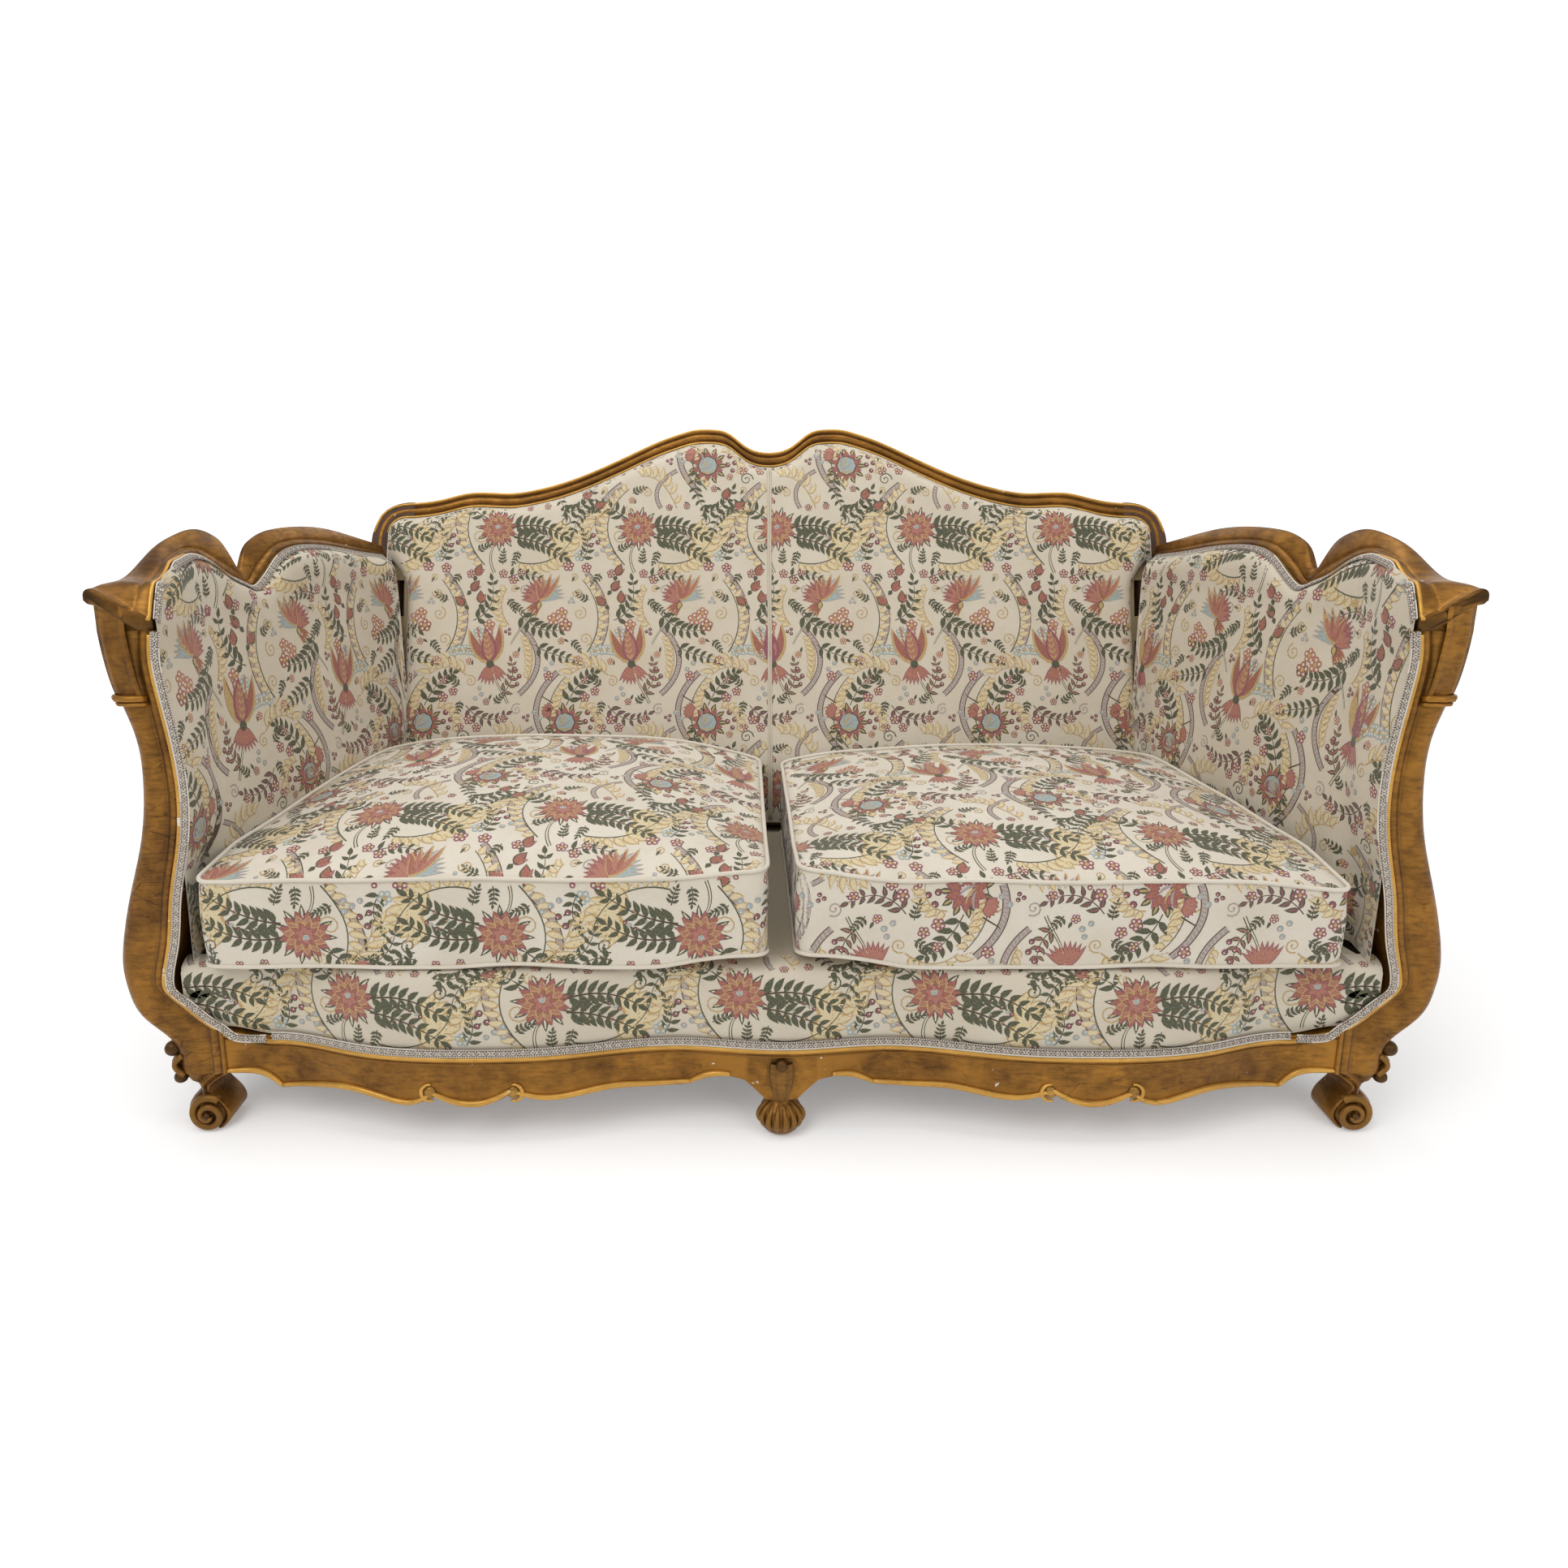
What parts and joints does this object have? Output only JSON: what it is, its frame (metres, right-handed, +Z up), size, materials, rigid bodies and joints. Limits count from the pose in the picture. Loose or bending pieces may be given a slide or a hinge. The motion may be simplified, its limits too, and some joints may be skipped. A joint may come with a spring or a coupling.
{
  "type": "cabriole sofa",
  "caption": "Two-seat French-style sofa with a carved, gilded show frame, arched upholstered back, flared scroll arms and loose box cushions.",
  "frame": {"origin": "centre of the bounding box on the floor", "axes": "+X along the seat to the sitter's left, +Y to the back, +Z up"},
  "size_m": [1.912, 0.9008, 1.0386],
  "materials": {
    "gilt_wood": "water-gilded and worn, with chips down to pale gesso",
    "beech": "bare planed hardwood",
    "steel": "tempered wire and wood screws",
    "webbing": "woven jute",
    "damask": "woven floral jacquard",
    "calico": "plain woven dust cloth",
    "braid": "woven trimming braid"
  },
  "bodies": {
    "frame": {"arm_pad_left": "damask", "arm_pad_right": "damask", "arm_post_left": "gilt_wood", "arm_post_right": "gilt_wood", "arm_rail_left": "gilt_wood", "arm_rail_right": "gilt_wood", "arm_tack_rail_left": "beech", "arm_tack_rail_right": "beech", "arm_webbing_left": "webbing", "arm_webbing_right": "webbing", "back_hessian": "webbing", "back_lower_rail": "beech", "back_pad": "damask", "back_seam": "damask", "back_stile_left": "gilt_wood", "back_stile_right": "gilt_wood", "back_top_rail": "gilt_wood", "back_upright": "beech", "back_webbing_level": "webbing", "back_webbing_upright": "webbing", "centre_foot": "gilt_wood", "corner_block_screws": "steel", "corner_blocks": "beech", "deck_border": "damask", "dust_cover": "calico", "front_rail_left": "gilt_wood", "front_rail_right": "gilt_wood", "front_seat_rail": "beech", "gimp_arm_left": "braid", "gimp_arm_right": "braid", "gimp_back": "braid", "gimp_front": "braid", "gimp_post_left": "braid", "gimp_post_right": "braid", "joint_dowels": "beech", "outside_arm_cover_left": "damask", "outside_arm_cover_right": "damask", "outside_back_cover": "damask", "rear_seat_rail": "beech", "seat_brace": "beech", "seat_deck_pad": "damask", "seat_hessian": "webbing", "seat_springs": "steel", "seat_webbing_cross": "webbing", "seat_webbing_long": "webbing", "side_seat_rail_left": "beech", "side_seat_rail_right": "beech"},
    "cushion_left": {"cushion_left": "damask", "cushion_left_piping": "damask"},
    "cushion_right": {"cushion_right": "damask", "cushion_right_piping": "damask"}
  },
  "joints": [
    {"name": "left_cushion_lift", "type": "slide", "parent": "frame", "child": "cushion_left", "axis": [0, 0, 1], "range_m": [0, 0.65]},
    {"name": "right_cushion_lift", "type": "slide", "parent": "frame", "child": "cushion_right", "axis": [0, 0, 1], "range_m": [0, 0.65]}
  ]
}
